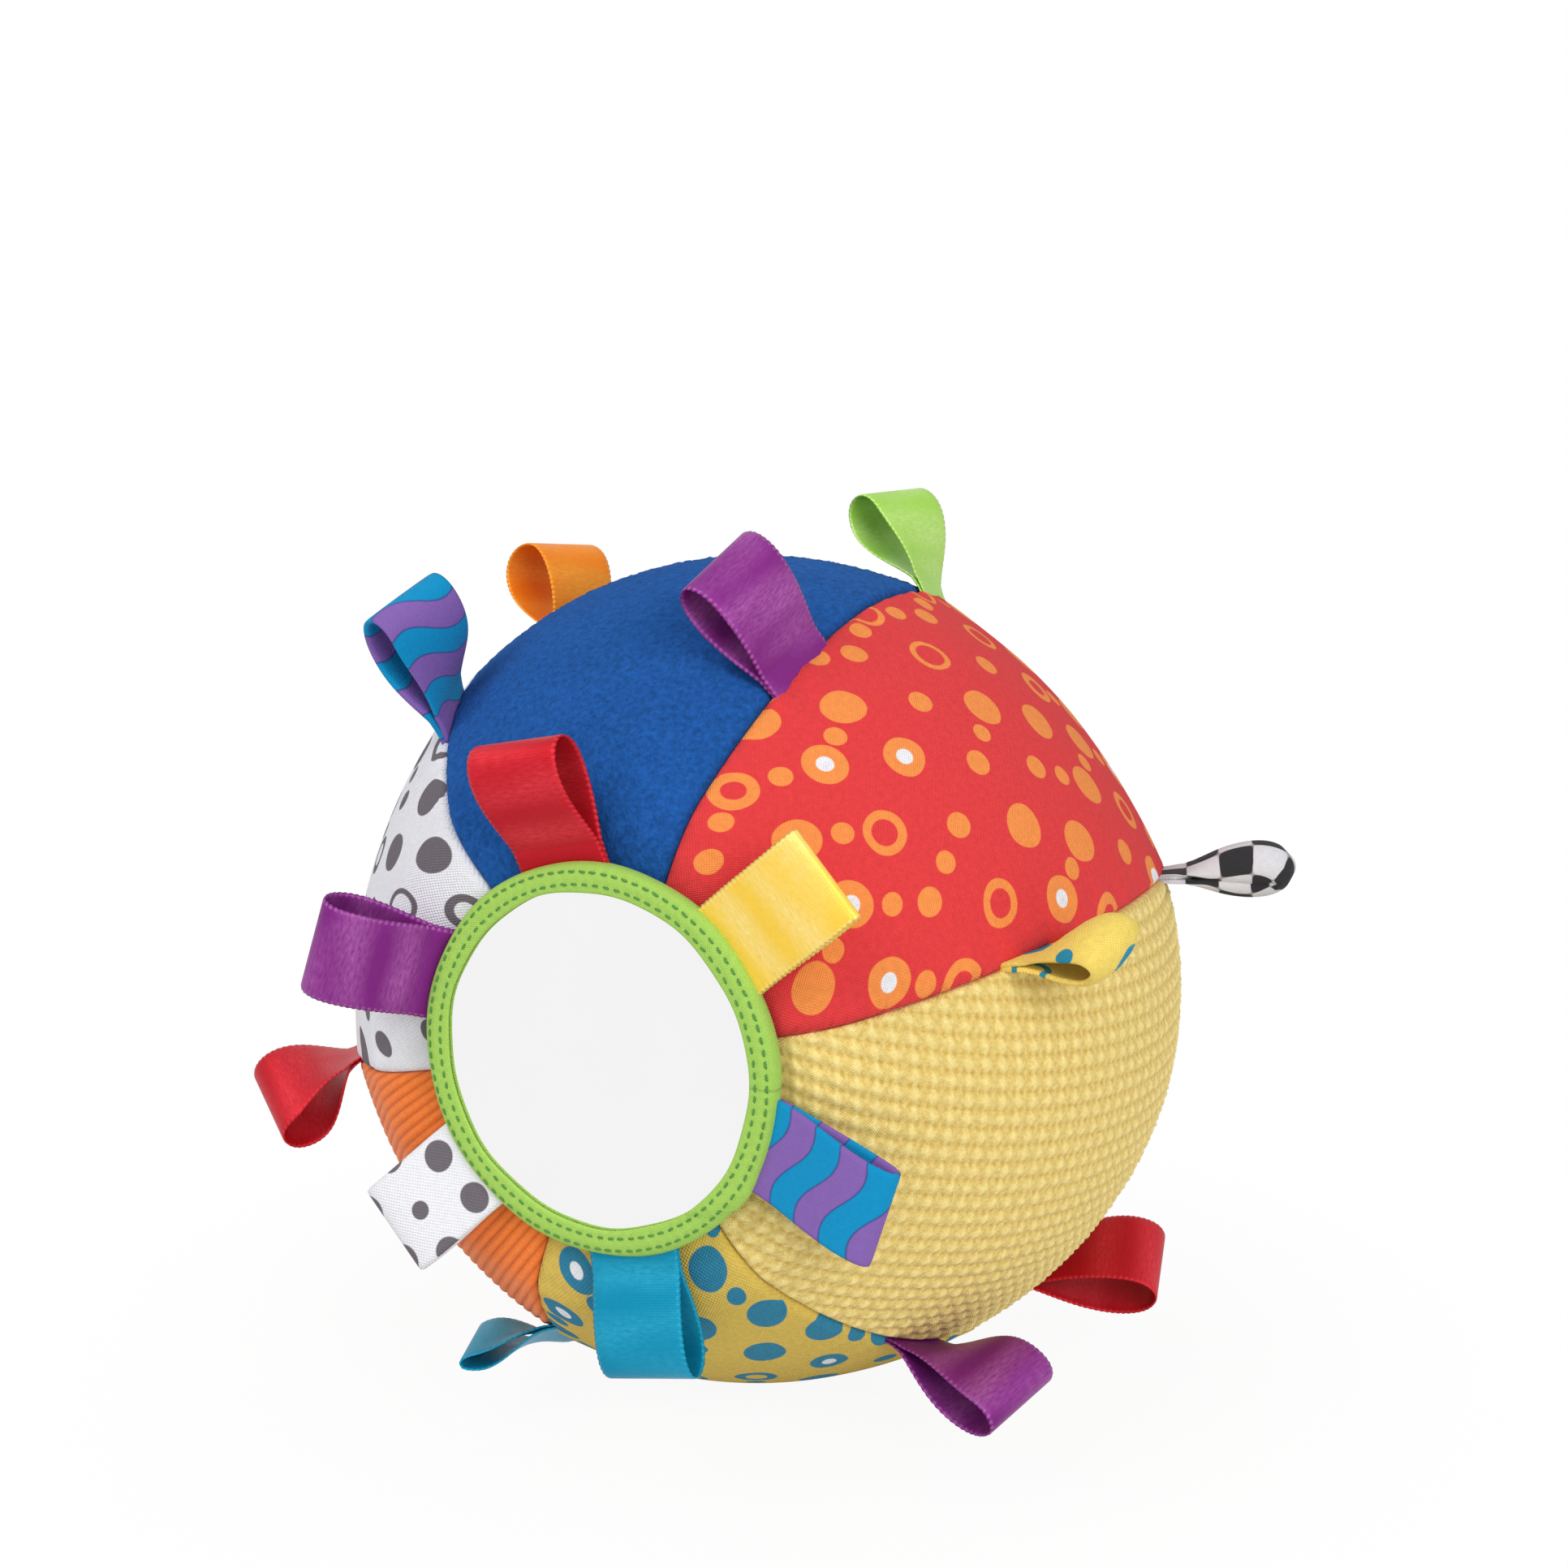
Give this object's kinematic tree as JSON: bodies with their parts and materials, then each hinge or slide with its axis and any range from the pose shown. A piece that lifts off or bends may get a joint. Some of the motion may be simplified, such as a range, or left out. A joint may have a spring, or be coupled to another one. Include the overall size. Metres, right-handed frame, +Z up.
{
  "type": "soft fabric ball",
  "caption": "Round stuffed cloth ball of mixed fabric panels, with a padded baby mirror on the front and folded ribbon loops sewn round it and into the seams.",
  "frame": {"origin": "middle of the flat spot the ball stands on", "axes": "+Z up, the mirror faces -Y, +X to the right of the mirror seen from the front"},
  "size_m": [0.188, 0.1509, 0.1604],
  "materials": {
    "corduroy_orange": "wide-wale corduroy",
    "print_yellow": "printed knit with blue dots",
    "waffle_yellow": "waffle knit",
    "print_red": "woven print with orange dots",
    "fleece_blue": "brushed fleece",
    "print_white": "printed knit with grey dots",
    "thread_seam": "sewing thread",
    "filling": "polyester fibre",
    "rattle_plastic": "smooth",
    "bead_plastic": "smooth",
    "mirror_backing": "plain cloth",
    "mirror_foam": "soft foam",
    "mirror_film": "silvered film",
    "binding_green": "folded binding tape",
    "thread_green": "sewing thread",
    "ribbon_red": "satin ribbon",
    "ribbon_yellow": "satin ribbon",
    "strip_wavy": "woven strip with wavy stripes",
    "ribbon_sky": "satin ribbon",
    "strip_dots": "printed strip with grey dots",
    "ribbon_purple": "satin ribbon",
    "ribbon_orange": "satin ribbon",
    "ribbon_green": "satin ribbon",
    "strip_print": "printed strip with blue dots",
    "strip_check": "woven strip with black and white checks"
  },
  "bodies": {
    "ball": {"panel_orange_corduroy": "corduroy_orange", "panel_yellow_print": "print_yellow", "panel_yellow_waffle": "waffle_yellow", "panel_red_print": "print_red", "panel_blue_fleece": "fleece_blue", "panel_white_print": "print_white", "seam_thread_1": "thread_seam", "seam_thread_2": "thread_seam", "seam_thread_3": "thread_seam", "seam_thread_4": "thread_seam", "seam_thread_5": "thread_seam", "seam_thread_6": "thread_seam", "filling_front": "filling", "filling_back": "filling", "rattle_shell_front": "rattle_plastic", "rattle_shell_back": "rattle_plastic", "mirror_backing": "mirror_backing", "mirror_foam": "mirror_foam", "mirror_film": "mirror_film", "mirror_binding": "binding_green", "mirror_stitch_outer": "thread_green", "mirror_stitch_inner": "thread_green"},
    "body_mirror_loop_red": {"mirror_loop_red": "ribbon_red"},
    "body_mirror_loop_yellow": {"mirror_loop_yellow": "ribbon_yellow"},
    "body_mirror_loop_wavy": {"mirror_loop_wavy": "strip_wavy"},
    "body_mirror_loop_sky": {"mirror_loop_sky": "ribbon_sky"},
    "body_mirror_loop_dots": {"mirror_loop_dots": "strip_dots"},
    "body_mirror_loop_purple": {"mirror_loop_purple": "ribbon_purple"},
    "body_seam_loop_striped": {"seam_loop_striped": "strip_wavy"},
    "body_seam_loop_orange": {"seam_loop_orange": "ribbon_orange"},
    "body_seam_loop_purple_top": {"seam_loop_purple_top": "ribbon_purple"},
    "body_seam_loop_green": {"seam_loop_green": "ribbon_green"},
    "body_seam_loop_print": {"seam_loop_print": "strip_print"},
    "body_seam_loop_check": {"seam_loop_check": "strip_check"},
    "body_seam_loop_purple_low": {"seam_loop_purple_low": "ribbon_purple"},
    "body_seam_loop_red_right": {"seam_loop_red_right": "ribbon_red"},
    "body_seam_loop_sky": {"seam_loop_sky": "ribbon_sky"},
    "body_seam_loop_yellow_back": {"seam_loop_yellow_back": "ribbon_yellow"},
    "body_seam_loop_red_left": {"seam_loop_red_left": "ribbon_red"},
    "body_seam_loop_green_back": {"seam_loop_green_back": "ribbon_green"},
    "body_rattle_bead_1": {"rattle_bead_1": "bead_plastic"},
    "body_rattle_bead_2": {"rattle_bead_2": "bead_plastic"},
    "body_rattle_bead_3": {"rattle_bead_3": "bead_plastic"}
  },
  "joints": [
    {"name": "mirror_loop_red_flop", "type": "hinge", "parent": "ball", "child": "body_mirror_loop_red", "pos_m": [-0.00637, -0.06372, 0.10608], "axis": [-0.9807, 0.0428, -0.1908], "range_deg": [-64, 16], "stiffness_Nm_per_rad": 0.0012},
    {"name": "mirror_loop_yellow_flop", "type": "hinge", "parent": "ball", "child": "body_mirror_loop_yellow", "pos_m": [0.02471, -0.06508, 0.09537], "axis": [-0.6554, 0.0286, 0.7547], "range_deg": [-76, 16], "stiffness_Nm_per_rad": 0.0012},
    {"name": "mirror_loop_wavy_flop", "type": "hinge", "parent": "ball", "child": "body_mirror_loop_wavy", "pos_m": [0.03116, -0.06536, 0.06362], "axis": [0.3087, -0.0135, 0.9511], "range_deg": [-72, 12], "stiffness_Nm_per_rad": 0.0012},
    {"name": "mirror_loop_sky_flop", "type": "hinge", "parent": "ball", "child": "body_mirror_loop_sky", "pos_m": [0.00617, -0.06427, 0.04149], "axis": [0.9807, -0.0428, 0.1908], "range_deg": [-76, 8], "stiffness_Nm_per_rad": 0.0012},
    {"name": "mirror_loop_dots_flop", "type": "hinge", "parent": "ball", "child": "body_mirror_loop_dots", "pos_m": [-0.02491, -0.06291, 0.0522], "axis": [0.6554, -0.0286, -0.7547], "range_deg": [-70, 12], "stiffness_Nm_per_rad": 0.0012},
    {"name": "mirror_loop_purple_flop", "type": "hinge", "parent": "ball", "child": "body_mirror_loop_purple", "pos_m": [-0.03118, -0.06264, 0.08449], "axis": [-0.3253, 0.0142, -0.9455], "range_deg": [-44, 34], "stiffness_Nm_per_rad": 0.0012},
    {"name": "seam_loop_striped_flop", "type": "hinge", "parent": "ball", "child": "body_seam_loop_striped", "pos_m": [-0.04303, -0.03636, 0.12329], "axis": [-0.3181, 0.8746, 0.3659], "range_deg": [-84, 18], "stiffness_Nm_per_rad": 0.0012},
    {"name": "seam_loop_orange_flop", "type": "hinge", "parent": "ball", "child": "body_seam_loop_orange", "pos_m": [-0.04753, 0.01941, 0.12846], "axis": [0.1698, 0.9659, -0.1953], "range_deg": [-76, 50], "stiffness_Nm_per_rad": 0.0012},
    {"name": "seam_loop_purple_top_flop", "type": "hinge", "parent": "ball", "child": "body_seam_loop_purple_top", "pos_m": [0.02244, -0.03636, 0.13542], "axis": [0.1658, 0.8746, 0.4556], "range_deg": [-3, 106], "stiffness_Nm_per_rad": 0.0012},
    {"name": "seam_loop_green_flop", "type": "hinge", "parent": "ball", "child": "body_seam_loop_green", "pos_m": [0.02478, 0.01941, 0.14186], "axis": [-0.0885, 0.9659, -0.2432], "range_deg": [-10, 116], "stiffness_Nm_per_rad": 0.0012},
    {"name": "seam_loop_print_flop", "type": "hinge", "parent": "ball", "child": "body_seam_loop_print", "pos_m": [0.06393, -0.03521, 0.09105], "axis": [0.4532, 0.8829, 0.1224], "range_deg": [-56, 54], "stiffness_Nm_per_rad": 0.0012},
    {"name": "seam_loop_check_flop", "type": "hinge", "parent": "ball", "child": "body_seam_loop_check", "pos_m": [0.06973, 0.01941, 0.09343], "axis": [-0.2491, 0.9659, -0.0702], "range_deg": [-76, 50], "stiffness_Nm_per_rad": 0.0012},
    {"name": "seam_loop_purple_low_flop", "type": "hinge", "parent": "ball", "child": "body_seam_loop_purple_low", "pos_m": [0.04218, -0.03051, 0.01979], "axis": [0.2504, 0.9135, -0.3205], "range_deg": [-18, 40], "stiffness_Nm_per_rad": 0.0012},
    {"name": "seam_loop_red_right_flop", "type": "hinge", "parent": "ball", "child": "body_seam_loop_red_right", "pos_m": [0.0446, 0.01941, 0.0167], "axis": [-0.1593, 0.9659, 0.204], "range_deg": [-14, 24], "stiffness_Nm_per_rad": 0.0012},
    {"name": "seam_loop_sky_flop", "type": "hinge", "parent": "ball", "child": "body_seam_loop_sky", "pos_m": [-0.02175, -0.03974, 0.01401], "axis": [-0.1812, 0.848, -0.498], "range_deg": [-24, 9], "stiffness_Nm_per_rad": 0.0012},
    {"name": "seam_loop_yellow_back_flop", "type": "hinge", "parent": "ball", "child": "body_seam_loop_yellow_back", "pos_m": [-0.02343, 0.03051, 0.0094], "axis": [0.1391, 0.9135, 0.3822], "range_deg": [-8, 3], "stiffness_Nm_per_rad": 0.0012},
    {"name": "seam_loop_red_left_flop", "type": "hinge", "parent": "ball", "child": "body_seam_loop_red_left", "pos_m": [-0.06221, -0.03974, 0.06056], "axis": [-0.5183, 0.848, -0.1102], "range_deg": [-32, 78], "stiffness_Nm_per_rad": 0.0012},
    {"name": "seam_loop_green_back_flop", "type": "hinge", "parent": "ball", "child": "body_seam_loop_green_back", "pos_m": [-0.07086, 0.01941, 0.05872], "axis": [0.2532, 0.9659, 0.0538], "range_deg": [-90, 54], "stiffness_Nm_per_rad": 0.0012},
    {"name": "rattle_bead_1_rise", "type": "slide", "parent": "ball", "child": "body_rattle_bead_1", "axis": [0, 0, 1], "range_m": [0, 0.024]},
    {"name": "rattle_bead_2_rise", "type": "slide", "parent": "ball", "child": "body_rattle_bead_2", "axis": [0, 0, 1], "range_m": [0, 0.024]},
    {"name": "rattle_bead_3_rise", "type": "slide", "parent": "ball", "child": "body_rattle_bead_3", "axis": [0, 0, 1], "range_m": [0, 0.024]}
  ]
}
